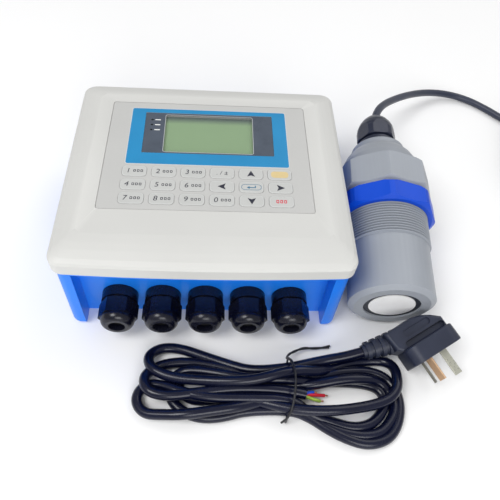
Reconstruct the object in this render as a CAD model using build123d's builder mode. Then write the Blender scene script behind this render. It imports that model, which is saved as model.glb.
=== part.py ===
"""Split ultrasonic level and distance meter: a wall-mount transmitter lying on its back, its
transducer probe with a signal cable, and a mains cord tied in a hank.

Millimetres, +Z up out of the display, +X towards the probe, -Y towards the cable glands.
The origin is the centre of the four wall-mount holes, in the transmitter's back face."""
from build123d import *
from math import cos, sin, tan, radians
import os

os.makedirs("parts", exist_ok=True)

# ---------------------------------------------------------------- driving dimensions
cover_width = 217.2
cover_back_y, cover_front_y = 95.2, -94.6
top_z = 98.2                      # the flat top of the cover
seam_z = 79.7                     # the cover's lower edge
seam_gap = 0.3                    # between the cover and the housing
wall = 3.0
front_bow = 3.0                   # how far the front rim bulges in plan

housing_half_width = 107.5
housing_back_y = 93.0
gland_wall_y = -75.4              # the outer face of the wall that carries the glands
cheek_front_y, cheek_inner_x = -89.7, 96.0
flange_front_y, flange_z = -92.0, 75.4
cove_radius = 12.0
rim_width = 8.2                   # the rim that carries the gasket
wall_hole_x, wall_hole_y, wall_hole_radius = 92.0, 60.0, 2.7

gland_pitch, gland_z = 33.7, 24.4
gland_count = 5
gland_thread_radius = 11.0
gland_hex_flats = 26.6

panel_half_width, panel_front_y, panel_back_y = 79.7, -49.3, 67.6
panel_depth, overlay_thickness, panel_gap = 1.0, 0.8, 0.4
window_half_width, window_front_y, window_back_y = 52.2, 8.7, 55.8
view_half_width, view_front_y, view_back_y = 35.7, 10.4, 53.6
ceiling_z = 95.0                  # the inside of the cover's top

key_pitch_x, key_pitch_y = 22.2, 13.7
key_first_x, key_first_y = -55.6, -11.6
key_width, key_height, key_corner = 18.6, 10.8, 3.2
key_gap = 0.2
key_names = [["1", "2", "3", "point", "up", "menu"],
             ["4", "5", "6", "left", "enter", "right"],
             ["7", "8", "9", "0", "down", "escape"]]

hinge_x, hinge_z = -107.0, 79.55
knuckle_radius, knuckle_relief, hinge_pin_radius = 2.0, 2.5, 1.0
hinge_y = 55.0

lock_y, lock_z = 5.0, 66.0        # the quarter-turn lock in the right-hand wall

probe_face = Vector(147.7, -90.4, 34.6)
probe_turn, probe_tilt = 3.4, 6.2 # degrees: heading right of +Y, and rising towards the cable
skirt_radius, thread_radius, thread_pitch = 34.5, 36.0, 2.4
thread_start = 48.7
nut_flats, cap_flats = 81.6, 79.6  # the octagons of the blue locknut and of the cap
octagon_turn = 39.5               # one flat faces up and a little away from the transmitter
nut_start, nut_end = 76.7, 94.2
cap_start, cap_step, cap_end = 94.8, 100.2, 125.1
dome_end, boss_end = 149.0, 157.0
probe_gland_end = 197.0
signal_cable_diameter = 7.5

mains_cord_diameter = 8.0
plug_centre = Vector(178.6, -125.8, 21.7)
plug_pin_direction = Vector(0.504, -0.842, -0.193)
plug_long_direction = Vector(0.862, 0.477, 0.173)
plate_length, plate_height, plate_thickness = 44.0, 35.0, 14.2


def save(piece, name):
    """Labels a finished piece and writes it."""
    piece.label = name
    export_step(piece, f"parts/{name}.step")


# ---------------------------------------------------------------- front cover
def cover_outline(z, side, front, bow, corner):
    """The cover's outline in plan at one height, set in from its full size."""
    half = cover_width / 2 - side
    back, near = cover_back_y - side, cover_front_y + front
    with BuildSketch(Plane.XY.offset(z)) as outline:
        with BuildLine():
            Line((-half, back), (half, back))
            Line((half, back), (half, near))
            ThreePointArc((half, near), (0, near - bow), (-half, near))
            Line((-half, near), (-half, back))
        make_face()
        fillet(outline.vertices(), corner)
    return outline.sketch


with BuildPart() as cover_shell:
    add(cover_outline(seam_z, 0.6, 0.6, front_bow, 9.6))
    add(cover_outline(seam_z + 1.0, 0, 0, front_bow, 10))
    add(cover_outline(90.4, 0, 0, front_bow, 10))
    add(cover_outline(92.3, 0.9, 1.0, 2.7, 9.6))
    add(cover_outline(94.4, 3.4, 4.0, 2.3, 9))
    add(cover_outline(96.2, 8.2, 10.0, 1.5, 7.5))
    add(cover_outline(97.4, 12.6, 16.0, 0.9, 5.5))
    add(cover_outline(top_z, 17.6, 22.6, 0.3, 4))
    loft(ruled=True)

with BuildPart() as cover_hollow:
    add(cover_outline(seam_z - 1, rim_width, rim_width, front_bow, 6))
    add(cover_outline(82.0, rim_width, rim_width, 2.9, 6))
    add(cover_outline(84.0, wall + 0.4, wall + 0.4, 2.8, 8))
    add(cover_outline(89.6, wall + 0.4, wall + 0.4, 2.8, 8))
    add(cover_outline(92.2, 7.4, 8.6, 1.9, 7))
    add(cover_outline(93.8, 12.4, 15.0, 1.0, 6))
    add(cover_outline(ceiling_z, 19.5, 24.5, 0.4, 4))
    loft(ruled=True)

panel_middle_y = (panel_front_y + panel_back_y) / 2
panel_size = (2 * panel_half_width, panel_back_y - panel_front_y)
window_middle_y = (window_front_y + window_back_y) / 2
window_size = (2 * window_half_width, window_back_y - window_front_y)
view_middle_y = (view_front_y + view_back_y) / 2
view_size = (2 * view_half_width, view_back_y - view_front_y)
panel_floor_z = top_z - panel_depth
pocket_floor_z = panel_floor_z - 1.2
display_opening = (97.0, 44.7)
key_places = [(key_first_x + column * key_pitch_x, key_first_y - row * key_pitch_y)
              for row in range(3) for column in range(6)]
stem_size, stem_hole = (14.6, 7.0), (15.4, 7.8)
display_post_places = [(x, y) for x in (-72, 72) for y in (-42, 58)]
display_post_radius = 3.2
display_board_top = 89.6
base_knuckle_length, cover_knuckle_length = 8.0, 14.0
base_knuckle_offset = cover_knuckle_length / 2 + 0.3 + base_knuckle_length / 2
keeper_x, keeper_z = 93.2, 60.4


def across(y):
    """A plane square to the hinge axis, at one place along it."""
    return Plane(origin=(hinge_x, y, hinge_z), x_dir=(1, 0, 0), z_dir=(0, 1, 0))


with BuildPart() as front_cover:
    add(cover_shell.part)
    add(cover_hollow.part, mode=Mode.SUBTRACT)
    with BuildSketch(Plane.XY.offset(top_z)):
        with Locations((0, panel_middle_y)):
            RectangleRounded(panel_size[0] + 2 * panel_gap, panel_size[1] + 2 * panel_gap, 2.4)
    extrude(amount=-panel_depth, mode=Mode.SUBTRACT)
    with BuildSketch(Plane.XY.offset(panel_floor_z)):
        with Locations((0, window_middle_y)):
            Rectangle(window_size[0] + 0.4, window_size[1] + 0.4)
    extrude(amount=pocket_floor_z - panel_floor_z, mode=Mode.SUBTRACT)
    with BuildSketch(Plane.XY.offset(panel_floor_z)):
        with Locations((0, window_middle_y)):
            Rectangle(*display_opening)
        with Locations(*key_places):
            RectangleRounded(*stem_hole, 1.5)
    extrude(amount=-6, mode=Mode.SUBTRACT)
    with BuildSketch(Plane.XY.offset(ceiling_z)):
        with Locations(*display_post_places):
            Circle(display_post_radius)
    extrude(amount=display_board_top - ceiling_z)
    with Locations(Plane.XY.offset(display_board_top)):
        with Locations(*display_post_places):
            Cylinder(1.25, 4, align=(Align.CENTER, Align.CENTER, Align.MIN), mode=Mode.SUBTRACT)
    # the keeper that the lock turns over: a blade on the cover's right wall with a foot
    with Locations((keeper_x - 2.5, lock_y + 10, keeper_z)):
        Box(2.4, 8, ceiling_z - keeper_z, align=(Align.CENTER, Align.CENTER, Align.MIN))
    with Locations((keeper_x + 0.2, lock_y + 10, keeper_z)):
        Box(7.8, 8, 2.2, align=(Align.CENTER, Align.CENTER, Align.MIN))
    # hinge knuckles, and room for the housing's knuckles beside them
    for side in (-1, 1):
        for beside in (-1, 1):
            with BuildSketch(across(side * hinge_y + beside * base_knuckle_offset)):
                Circle(knuckle_relief)
            extrude(amount=base_knuckle_length / 2 + 0.3, both=True, mode=Mode.SUBTRACT)
        with BuildSketch(across(side * hinge_y)):
            Circle(knuckle_radius)
        extrude(amount=cover_knuckle_length / 2, both=True)
        with BuildSketch(across(side * hinge_y)):
            Circle(hinge_pin_radius + 0.05)
        extrude(amount=cover_knuckle_length, both=True, mode=Mode.SUBTRACT)
save(front_cover.part, "front_cover")

# ---------------------------------------------------------------- rear housing
housing_top = seam_z - seam_gap
inner_x = housing_half_width - wall
gland_places = [(gland_pitch * (n - (gland_count - 1) / 2), gland_z) for n in range(gland_count)]
board_post_places = [(x, y) for x in (-78, 78) for y in (-22, 78)]
main_board_z = 14.0
gasket_inset = 3.9                # from the rim's outer edge to the groove
gasket_width, groove_depth = 2.8, 2.2
rim_middle_y = (flange_front_y + housing_back_y) / 2
rim_depth = housing_back_y - flange_front_y

with BuildPart() as rear_housing:
    with BuildSketch():
        with Locations((0, (gland_wall_y + housing_back_y) / 2)):
            Rectangle(2 * housing_half_width, housing_back_y - gland_wall_y)
    extrude(amount=housing_top)
    # the cheeks that stand forward each side of the glands
    with BuildSketch():
        for side in (-1, 1):
            with Locations((side * (housing_half_width + cheek_inner_x) / 2,
                            (cheek_front_y + gland_wall_y) / 2)):
                Rectangle(housing_half_width - cheek_inner_x, gland_wall_y - cheek_front_y)
    extrude(amount=housing_top)
    fillet(rear_housing.edges().filter_by(Axis.Z).group_by(Axis.Y)[-1], 11.5)
    cheek_corners = rear_housing.edges().filter_by(Axis.Z).group_by(Axis.Y)[0].sort_by(Axis.X)
    fillet([cheek_corners[0], cheek_corners[-1]], 8)
    long_edges = rear_housing.edges().filter_by(Axis.Y).group_by(Axis.Z)[0].sort_by(Axis.X)
    fillet([long_edges[0], long_edges[-1]], 4.5)
    # the front flange under the cover's rim, with a cove below it
    with BuildSketch(Plane.XY.offset(flange_z)):
        with BuildLine():
            Line((-housing_half_width, gland_wall_y), (housing_half_width, gland_wall_y))
            Line((housing_half_width, gland_wall_y), (housing_half_width, flange_front_y))
            ThreePointArc((housing_half_width, flange_front_y), (0, flange_front_y - front_bow),
                          (-housing_half_width, flange_front_y))
            Line((-housing_half_width, flange_front_y), (-housing_half_width, gland_wall_y))
        make_face()
    extrude(amount=housing_top - flange_z)
    fillet(rear_housing.edges().filter_by(Axis.Z).group_by(Axis.Y)[0], 10)
    with BuildSketch(Plane.YZ.offset(-cheek_inner_x)):
        with BuildLine():
            Line((gland_wall_y, flange_z), (gland_wall_y - cove_radius, flange_z))
            RadiusArc((gland_wall_y - cove_radius, flange_z),
                      (gland_wall_y, flange_z - cove_radius), cove_radius)
            Line((gland_wall_y, flange_z - cove_radius), (gland_wall_y, flange_z))
        make_face()
    extrude(amount=2 * cheek_inner_x)
    # the inside: the main cavity, the hollow cheeks and the opening in the rim
    with BuildSketch(Plane.XY.offset(wall)):
        with Locations((0, (gland_wall_y + housing_back_y) / 2)):
            RectangleRounded(2 * inner_x, housing_back_y - gland_wall_y - 2 * wall, 8)
        for side in (-1, 1):
            with Locations((side * (cheek_inner_x + wall / 2 + inner_x) / 2, gland_wall_y)):
                Rectangle(inner_x - cheek_inner_x - wall / 2, 2 * (gland_wall_y - cheek_front_y - wall))
    extrude(amount=housing_top - 8 - wall, mode=Mode.SUBTRACT)
    with BuildSketch(Plane.XY.offset(housing_top)):
        with Locations((0, (gland_wall_y + wall + housing_back_y - rim_width) / 2)):
            RectangleRounded(2 * (housing_half_width - rim_width),
                             housing_back_y - rim_width - gland_wall_y - wall, 6)
    extrude(amount=-12, mode=Mode.SUBTRACT)
    # the gasket groove
    with BuildSketch(Plane.XY.offset(housing_top)):
        with Locations((0, rim_middle_y)):
            RectangleRounded(2 * (housing_half_width - gasket_inset), rim_depth - 2 * gasket_inset, 8)
            RectangleRounded(2 * (housing_half_width - gasket_inset - gasket_width),
                             rim_depth - 2 * (gasket_inset + gasket_width), 5, mode=Mode.SUBTRACT)
    extrude(amount=-groove_depth, mode=Mode.SUBTRACT)
    # posts for the main board, and bosses for the wall screws
    with BuildSketch(Plane.XY.offset(wall)):
        with Locations(*board_post_places):
            Circle(3.6)
    extrude(amount=main_board_z - wall)
    with BuildSketch(Plane.XY.offset(wall)):
        with GridLocations(2 * wall_hole_x, 2 * wall_hole_y, 2, 2):
            Circle(7.5)
    extrude(amount=6)
    with Locations(Plane.XY.offset(main_board_z)):
        with Locations(*board_post_places):
            Cylinder(1.5, 8, align=(Align.CENTER, Align.CENTER, Align.MAX), mode=Mode.SUBTRACT)
    with Locations(Plane.XY.offset(wall + 6)):
        with GridLocations(2 * wall_hole_x, 2 * wall_hole_y, 2, 2):
            CounterBoreHole(wall_hole_radius, 5.2, 3.5)
    # gland holes
    with BuildSketch(Plane.XZ.offset(-gland_wall_y + 1)):
        with Locations(*gland_places):
            Circle(gland_thread_radius + 0.2)
    extrude(amount=-wall - 2, mode=Mode.SUBTRACT)
    # the lock's hole and the recess for its head
    with BuildSketch(Plane.YZ.offset(housing_half_width)):
        with Locations((lock_y, lock_z)):
            Circle(7.5)
    extrude(amount=-1.4, mode=Mode.SUBTRACT)
    with BuildSketch(Plane.YZ.offset(housing_half_width)):
        with Locations((lock_y, lock_z)):
            Circle(5.1)
    extrude(amount=-wall - 2, mode=Mode.SUBTRACT)
    # room for the cover's rounded edge along the hinge, then the housing's own knuckles
    with BuildSketch(across(0)):
        Circle(knuckle_relief)
    extrude(amount=housing_back_y, both=True, mode=Mode.SUBTRACT)
    for side in (-1, 1):
        for beside in (-1, 1):
            middle = side * hinge_y + beside * base_knuckle_offset
            with BuildSketch(across(middle)):
                Circle(knuckle_radius)
                with Locations((0.65, knuckle_relief / 2 + 0.15)):
                    Rectangle(3.1, knuckle_relief)
            extrude(amount=base_knuckle_length / 2, both=True)
            with BuildSketch(across(middle)):
                Circle(hinge_pin_radius)
            extrude(amount=base_knuckle_length / 2 + 1, both=True, mode=Mode.SUBTRACT)
save(rear_housing.part, "rear_housing")

with BuildPart() as cover_gasket:
    with BuildSketch(Plane.XY.offset(housing_top - groove_depth)):
        with Locations((0, rim_middle_y)):
            RectangleRounded(2 * (housing_half_width - gasket_inset) - 0.2,
                             rim_depth - 2 * gasket_inset - 0.2, 7.9)
            RectangleRounded(2 * (housing_half_width - gasket_inset - gasket_width) + 0.2,
                             rim_depth - 2 * (gasket_inset + gasket_width) + 0.2, 5.1,
                             mode=Mode.SUBTRACT)
    extrude(amount=groove_depth + 0.25)
save(cover_gasket.part, "cover_gasket")

with BuildPart() as hinge_pins:
    for side in (-1, 1):
        with BuildSketch(across(side * hinge_y)):
            Circle(hinge_pin_radius)
        extrude(amount=base_knuckle_offset + base_knuckle_length / 2 - 0.5, both=True)
save(hinge_pins.part, "hinge_pins")

with BuildPart() as cover_lock:
    with BuildSketch(Plane.YZ.offset(housing_half_width - 1.2)):
        with Locations((lock_y, lock_z)):
            Circle(7.0)
    extrude(amount=1.1)
    with BuildSketch(Plane.YZ.offset(97.4)):
        with Locations((lock_y, lock_z)):
            Circle(4.8)
    extrude(amount=housing_half_width - 1.2 - 97.4)
    with BuildSketch(Plane.YZ.offset(93.6)):
        with Locations((lock_y, lock_z + 5)):
            RectangleRounded(5.2, 15.2, 2.5)
        with Locations((lock_y, lock_z)):
            Circle(4.8)
    extrude(amount=3.8)
    with Locations((housing_half_width - 0.1, lock_y, lock_z)):
        Box(1.6, 10, 1.6, mode=Mode.SUBTRACT)
save(cover_lock.part, "cover_lock")

# ---------------------------------------------------------------- keypad, window and display
with BuildPart() as keypad_overlay:
    with BuildSketch(Plane.XY.offset(panel_floor_z)):
        with Locations((0, panel_middle_y)):
            RectangleRounded(*panel_size, 2.0)
        with Locations((0, window_middle_y)):
            Rectangle(window_size[0] + 0.2, window_size[1] + 0.2, mode=Mode.SUBTRACT)
        with Locations(*key_places):
            RectangleRounded(key_width + 2 * key_gap, key_height + 2 * key_gap,
                             key_corner + key_gap, mode=Mode.SUBTRACT)
    extrude(amount=overlay_thickness)
save(keypad_overlay.part, "keypad_overlay")

key_top_z = panel_floor_z + overlay_thickness + 0.45
key_cap_thickness = 0.7
stem_end_z = display_board_top + 4.0


def key(place):
    """One embossed key: a thin crowned cap with a short stem that presses a switch."""
    with BuildPart() as cap:
        with BuildSketch(Plane.XY.offset(key_top_z - key_cap_thickness)):
            with Locations(place):
                RectangleRounded(key_width, key_height, key_corner)
        extrude(amount=key_cap_thickness)
        chamfer(cap.edges().group_by(Axis.Z)[-1], 0.25)
        with BuildSketch(Plane.XY.offset(stem_end_z)):
            with Locations(place):
                RectangleRounded(*stem_size, 1.2)
        extrude(amount=key_top_z - key_cap_thickness - stem_end_z)
    return cap.part


for name, place in zip([name for row in key_names for name in row], key_places):
    save(key(place), f"key_{name}")

lens_top_z = panel_floor_z + 0.7
lamp_x, lamp_pitch = -46.6, 6.0
lamp_places = [(lamp_x, window_back_y - 8.6 - lamp_pitch * n) for n in range(3)]

with BuildPart() as display_window:
    with BuildSketch(Plane.XY.offset(pocket_floor_z)):
        with Locations((0, window_middle_y)):
            Rectangle(*window_size)
    extrude(amount=lens_top_z - pocket_floor_z)
save(display_window.part, "display_window")

lcd_size, lcd_top_z = (91.0, 43.6), 95.7
with BuildPart() as lcd_module:
    with BuildSketch(Plane.XY.offset(display_board_top)):
        with Locations((0, view_middle_y)):
            Rectangle(*lcd_size)
    extrude(amount=lcd_top_z - display_board_top)
    with BuildSketch(Plane.XY.offset(lcd_top_z)):
        with Locations((0, view_middle_y)):
            RectangleRounded(view_size[0] - 1.6, view_size[1] - 2.2, 1.2)
    extrude(amount=-0.5, mode=Mode.SUBTRACT)
    # the body is cut back at the left, where the lamps stand
    with Locations((-lcd_size[0] / 2, window_back_y - 13, display_board_top)):
        Box(8, 20, 8, align=(Align.CENTER, Align.CENTER, Align.MIN), mode=Mode.SUBTRACT)
save(lcd_module.part, "lcd_module")

with BuildPart() as status_lamps:
    with BuildSketch(Plane.XY.offset(display_board_top)):
        with Locations(*lamp_places):
            Circle(1.5)
    extrude(amount=5.2)
    fillet(status_lamps.edges().filter_by(GeomType.CIRCLE).group_by(Axis.Z)[-1], 0.9)
save(status_lamps.part, "status_lamps")

with BuildPart() as display_board:
    with BuildSketch(Plane.XY.offset(display_board_top - 1.6)):
        with Locations((0, 8)):
            Rectangle(156, 116)
        with Locations(*display_post_places):
            Circle(1.7, mode=Mode.SUBTRACT)
    extrude(amount=1.6)
    # the tact switches under the keys
    with BuildSketch(Plane.XY.offset(display_board_top)):
        with Locations(*key_places):
            Rectangle(6, 6)
    extrude(amount=2.0)
    with BuildSketch(Plane.XY.offset(display_board_top + 2)):
        with Locations(*key_places):
            Circle(1.8)
    extrude(amount=1.4)
save(display_board.part, "display_board")


def pan_screws(places, seat_z, shank, head, length, up):
    """Identical pan-head screws, one solid each. up is 1 for heads on top, -1 for below."""
    with BuildPart() as screws:
        with BuildSketch(Plane.XY.offset(seat_z)):
            with Locations(*places):
                Circle(head)
        extrude(amount=up * 2.0)
        with BuildSketch(Plane.XY.offset(seat_z)):
            with Locations(*places):
                Circle(shank)
        extrude(amount=-up * length)
        with BuildSketch(Plane.XY.offset(seat_z + up * 2.0)):
            with Locations(*places):
                Rectangle(3.4, 0.8)
                Rectangle(0.8, 3.4)
        extrude(amount=-up * 1.1, mode=Mode.SUBTRACT)
    return screws.part


save(pan_screws(display_post_places, display_board_top - 1.6, 1.25, 2.6, 5.4, -1), "display_screws")

# ---------------------------------------------------------------- inside the housing
with BuildPart() as main_board:
    with BuildSketch(Plane.XY.offset(main_board_z)):
        with Locations((0, 28)):
            Rectangle(168, 112)
        with Locations(*board_post_places):
            Circle(1.8, mode=Mode.SUBTRACT)
    extrude(amount=1.6)
save(main_board.part, "main_board")
save(pan_screws(board_post_places, main_board_z + 1.6, 1.5, 3.0, 8, 1), "board_screws")

with BuildPart() as terminal_blocks:
    for first, ways in ((-66, 9), (-10, 7), (36, 6)):
        length = ways * 5.0
        with Locations((first + length / 2, -10, main_board_z + 1.6)):
            Box(length, 11, 12, align=(Align.CENTER, Align.CENTER, Align.MIN))
        with Locations(*[(first + 2.5 + 5.0 * n, -10, main_board_z + 13.6) for n in range(ways)]):
            Cylinder(1.9, 2.5, align=(Align.CENTER, Align.CENTER, Align.MAX), mode=Mode.SUBTRACT)
            with Locations((0, -4.5, -9)):
                Box(3.6, 4, 5, mode=Mode.SUBTRACT)
save(terminal_blocks.part, "terminal_blocks")

with BuildPart() as transformer:
    with Locations((44, 44, main_board_z + 1.6)):
        Box(44, 37, 33, align=(Align.CENTER, Align.CENTER, Align.MIN))
    chamfer(transformer.edges().filter_by(Axis.Z), 1.5)
    with Locations((44, 44, main_board_z + 1.6 + 6)):
        Box(45, 16, 21, align=(Align.CENTER, Align.CENTER, Align.MIN))
save(transformer.part, "transformer")

# ---------------------------------------------------------------- cable glands
body_length, neck_length, nut_hex_length, dome_length = 8.0, 1.2, 12.8, 7.0
washer_thickness = 1.0
body_front_y = gland_wall_y - washer_thickness - body_length
nut_back_y = body_front_y - neck_length
hex_end_y = nut_back_y - nut_hex_length
gland_tip_y = hex_end_y - dome_length
thread_front_y, thread_back_y = nut_back_y - 8.4, gland_wall_y + 12.0


def along_glands(y):
    """A plane facing out of the gland wall, its origin on the wall-hole centre line."""
    return Plane(origin=(0, y, 0), x_dir=(1, 0, 0), z_dir=(0, -1, 0))


def gland_cylinders(radius, start_y, end_y, bore):
    """One ring per gland, from one place along Y to another nearer the viewer."""
    with BuildPart() as rings:
        with BuildSketch(along_glands(start_y)):
            with Locations(*gland_places):
                Circle(radius)
                Circle(bore, mode=Mode.SUBTRACT)
        extrude(amount=start_y - end_y)
    return rings.part


with BuildPart() as gland_bodies:
    add(gland_cylinders(14.2, gland_wall_y - washer_thickness, body_front_y, 7.2))
    add(gland_cylinders(12.0, body_front_y, nut_back_y, 7.2))
    add(gland_cylinders(11.5, nut_back_y, thread_front_y, 7.2))
    add(gland_cylinders(gland_thread_radius, thread_back_y, gland_wall_y - washer_thickness, 7.2))
save(gland_bodies.part, "gland_bodies")

with BuildPart() as gland_washers:
    add(gland_cylinders(13.6, gland_wall_y, gland_wall_y - washer_thickness, gland_thread_radius))
save(gland_washers.part, "gland_washers")

with BuildPart() as gland_locknuts:
    with BuildSketch(along_glands(gland_wall_y + wall + 5)):
        with Locations(*gland_places):
            RegularPolygon(gland_hex_flats / 2, 6, major_radius=False)
            Circle(gland_thread_radius, mode=Mode.SUBTRACT)
    extrude(amount=5)
save(gland_locknuts.part, "gland_locknuts")

with BuildPart() as gland_seals:
    add(gland_cylinders(7.2, nut_back_y + 5, thread_front_y, 5.0))
    add(gland_cylinders(8.8, thread_front_y, thread_front_y - 5.5, 5.0))
save(gland_seals.part, "gland_seals")


def gland_nut(place):
    """The hexagonal cap nut of one gland, with its rounded nose."""
    with BuildPart() as nut:
        with BuildSketch(along_glands(nut_back_y - 0.1)):
            with Locations(place):
                RegularPolygon(gland_hex_flats / 2, 6, major_radius=False)
        extrude(amount=nut_hex_length - 0.1)
        with BuildSketch(Plane.XY.offset(gland_z)):
            with BuildLine():
                Line((place[0], nut_back_y - 0.1), (place[0] + 14.3, nut_back_y - 0.1))
                Line((place[0] + 14.3, nut_back_y - 0.1), (place[0] + 15.4, nut_back_y - 1.2))
                Line((place[0] + 15.4, nut_back_y - 1.2), (place[0] + 15.4, hex_end_y))
                Line((place[0] + 15.4, hex_end_y), (place[0], hex_end_y))
                Line((place[0], hex_end_y), (place[0], nut_back_y - 0.1))
            make_face()
        revolve(axis=Axis((place[0], 0, gland_z), (0, 1, 0)), mode=Mode.INTERSECT)
        with BuildSketch(Plane.XY.offset(gland_z)):
            with BuildLine():
                Line((place[0], hex_end_y), (place[0] + 13.2, hex_end_y))
                Spline((place[0] + 13.2, hex_end_y), (place[0] + 12.3, hex_end_y - 4.2),
                       (place[0] + 9.0, gland_tip_y), tangents=((0, -1), (-1, -0.35)))
                Line((place[0] + 9.0, gland_tip_y), (place[0], gland_tip_y))
                Line((place[0], gland_tip_y), (place[0], hex_end_y))
            make_face()
        revolve(axis=Axis((place[0], 0, gland_z), (0, 1, 0)))
        for radius, depth in ((11.6, 9.2), (9.2, 14.6), (6.5, 40)):
            with BuildSketch(along_glands(nut_back_y + 0.5)):
                with Locations(place):
                    Circle(radius)
            extrude(amount=depth + 0.5, mode=Mode.SUBTRACT)
    return nut.part


for n, place in enumerate(gland_places):
    save(gland_nut(place), f"gland_nut_{n + 1}")

# ---------------------------------------------------------------- transducer probe
probe_direction = Vector(sin(radians(probe_turn)) * cos(radians(probe_tilt)),
                         cos(radians(probe_turn)) * cos(radians(probe_tilt)),
                         sin(radians(probe_tilt)))
probe_across = Vector(cos(radians(probe_turn)), -sin(radians(probe_turn)), 0)
probe_plane = Plane(origin=probe_face, x_dir=probe_across, z_dir=probe_direction)
probe_section = Plane(origin=probe_face, x_dir=probe_across,
                      z_dir=probe_across.cross(probe_direction))
probe_axis = Axis(probe_face, probe_direction)


def turned(points):
    """Turns an outline of (radius, distance from the face) points about the probe's axis."""
    with BuildPart() as lathe:
        with BuildSketch(probe_section):
            with BuildLine():
                Polyline(*points, close=True)
            make_face()
        revolve(axis=probe_axis)
    return lathe.part


def thread_outline(start, end, pitch, root, crest):
    """The stepped outline of a thread, drawn as rings."""
    points, count = [], int((end - start) / pitch)
    for n in range(count):
        low = start + n * pitch
        points += [(root, low), (root, low + 0.2 * pitch), (crest, low + 0.45 * pitch),
                   (crest, low + 0.7 * pitch)]
    return points + [(root, start + count * pitch)]


thread_root = thread_radius - 1.7
tube_bore = 31.0
with BuildPart() as probe_body:
    add(turned([(22.6, 0), (30.0, 0), (skirt_radius, 3.0), (skirt_radius, thread_start - 0.8)]
           + thread_outline(thread_start, cap_start, thread_pitch, thread_root, thread_radius)
           + [(thread_root, cap_start), (tube_bore, cap_start), (tube_bore, 3.0), (22.6, 3.0)]))
save(probe_body.part, "probe_body")

with BuildPart() as probe_diaphragm:
    add(turned([(0, 0.9), (18.4, 0.9), (18.4, 6.0), (0, 6.0)]))
save(probe_diaphragm.part, "probe_diaphragm")

with BuildPart() as isolation_ring:
    add(turned([(18.4, 1.6), (22.6, 1.6), (22.6, 3.0), (27.0, 3.0), (27.0, 6.0), (18.4, 6.0)]))
save(isolation_ring.part, "isolation_ring")

with BuildPart() as piezo_disc:
    add(turned([(0, 6.0), (16.0, 6.0), (16.0, 16.0), (0, 16.0)]))
save(piezo_disc.part, "piezo_disc")

with BuildPart() as backing_potting:
    add(turned([(0, 16.0), (16.0, 16.0), (16.0, 6.0), (27.0, 6.0), (27.0, 3.0), (tube_bore, 3.0),
            (tube_bore, 62.0), (0, 62.0)]))
save(backing_potting.part, "backing_potting")

with BuildPart() as probe_locknut:
    with BuildSketch(probe_plane.offset(nut_start)):
        RegularPolygon(nut_flats / 2, 8, major_radius=False, rotation=octagon_turn)
    extrude(amount=nut_end - nut_start)
    add(turned([(0, nut_start), (39.6, nut_start), (43.3, nut_start + 2.6), (43.3, nut_end - 1.2),
                (42.1, nut_end), (0, nut_end)]), mode=Mode.INTERSECT)
    with BuildSketch(probe_plane.offset(nut_start)):
        Circle(thread_radius + 0.3)
    extrude(amount=nut_end - nut_start, mode=Mode.SUBTRACT)
save(probe_locknut.part, "probe_locknut")

with BuildPart() as probe_cap:
    with BuildSketch(probe_plane.offset(cap_start)):
        RegularPolygon(cap_flats / 2, 8, major_radius=False, rotation=octagon_turn)
    extrude(amount=boss_end - cap_start)
    add(turned([(0, cap_start), (37.6, cap_start), (39.2, cap_start + 2.4), (43.1, cap_step),
                (43.1, cap_end - 1.5), (41.2, cap_end), (36.6, cap_end + 0.8), (34.4, cap_end + 9.5),
                (30.8, cap_end + 17.5), (26.4, dome_end), (24.0, dome_end + 0.8),
                (24.0, boss_end - 1.2), (22.8, boss_end), (0, boss_end)]), mode=Mode.INTERSECT)
    add(turned([(0, cap_start - 7), (tube_bore, cap_start - 7), (tube_bore, cap_start),
                (0, cap_start)]))
    add(turned([(0, cap_start - 7), (27.5, cap_start - 7), (27.5, cap_end), (20.0, dome_end - 4),
                (0, dome_end - 4)]), mode=Mode.SUBTRACT)
    add(turned([(0, dome_end - 4), (8.6, dome_end - 4), (8.6, boss_end), (0, boss_end)]),
        mode=Mode.SUBTRACT)
save(probe_cap.part, "probe_cap")

probe_flange_end, probe_nut_start = 166.5, 168.2
cable_radius = signal_cable_diameter / 2
with BuildPart() as probe_gland_body:
    add(turned([(5.6, dome_end - 3), (8.6, dome_end - 3), (8.6, boss_end), (15.8, boss_end),
            (17.0, boss_end + 1.4), (17.0, probe_flange_end - 1.4), (15.8, probe_flange_end),
            (14.4, probe_flange_end), (14.4, probe_nut_start - 0.1), (11.4, probe_nut_start - 0.1),
            (11.4, 181.0), (5.6, 181.0)]))
save(probe_gland_body.part, "probe_gland_body")

with BuildPart() as probe_gland_seal:
    add(turned([(cable_radius, 172.0), (5.6, 172.0), (5.6, 181.0), (7.6, 181.0), (7.2, 188.0),
            (cable_radius, 188.0)]))
save(probe_gland_seal.part, "probe_gland_seal")

with BuildPart() as probe_gland_nut:
    with BuildSketch(probe_plane.offset(probe_nut_start)):
        RegularPolygon(16.6, 6, major_radius=False)
    extrude(amount=probe_gland_end - probe_nut_start)
    add(turned([(0, probe_nut_start), (17.0, probe_nut_start), (18.0, probe_nut_start + 1.0),
                (17.9, 178.6), (17.0, 183.4), (15.2, 188.2), (12.4, 192.8), (8.6, probe_gland_end),
                (0, probe_gland_end)]), mode=Mode.INTERSECT)
    add(turned([(0, probe_nut_start), (11.5, probe_nut_start), (11.5, 182.4), (8.2, 183.4),
                (8.2, 188.6), (4.6, 190.4), (4.6, probe_gland_end), (0, probe_gland_end)]),
        mode=Mode.SUBTRACT)
save(probe_gland_nut.part, "probe_gland_nut")


# ---------------------------------------------------------------- cords
def bend_radii(points):
    """The radius of each inner corner: as round as its shorter run allows."""
    radii = []
    for before, corner, after in zip(points, points[1:], points[2:]):
        arriving, leaving = corner - before, after - corner
        turn = radians(arriving.get_angle(leaving))
        radii.append(0.45 * min(arriving.length, leaving.length) / tan(turn / 2))
    return radii


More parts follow.
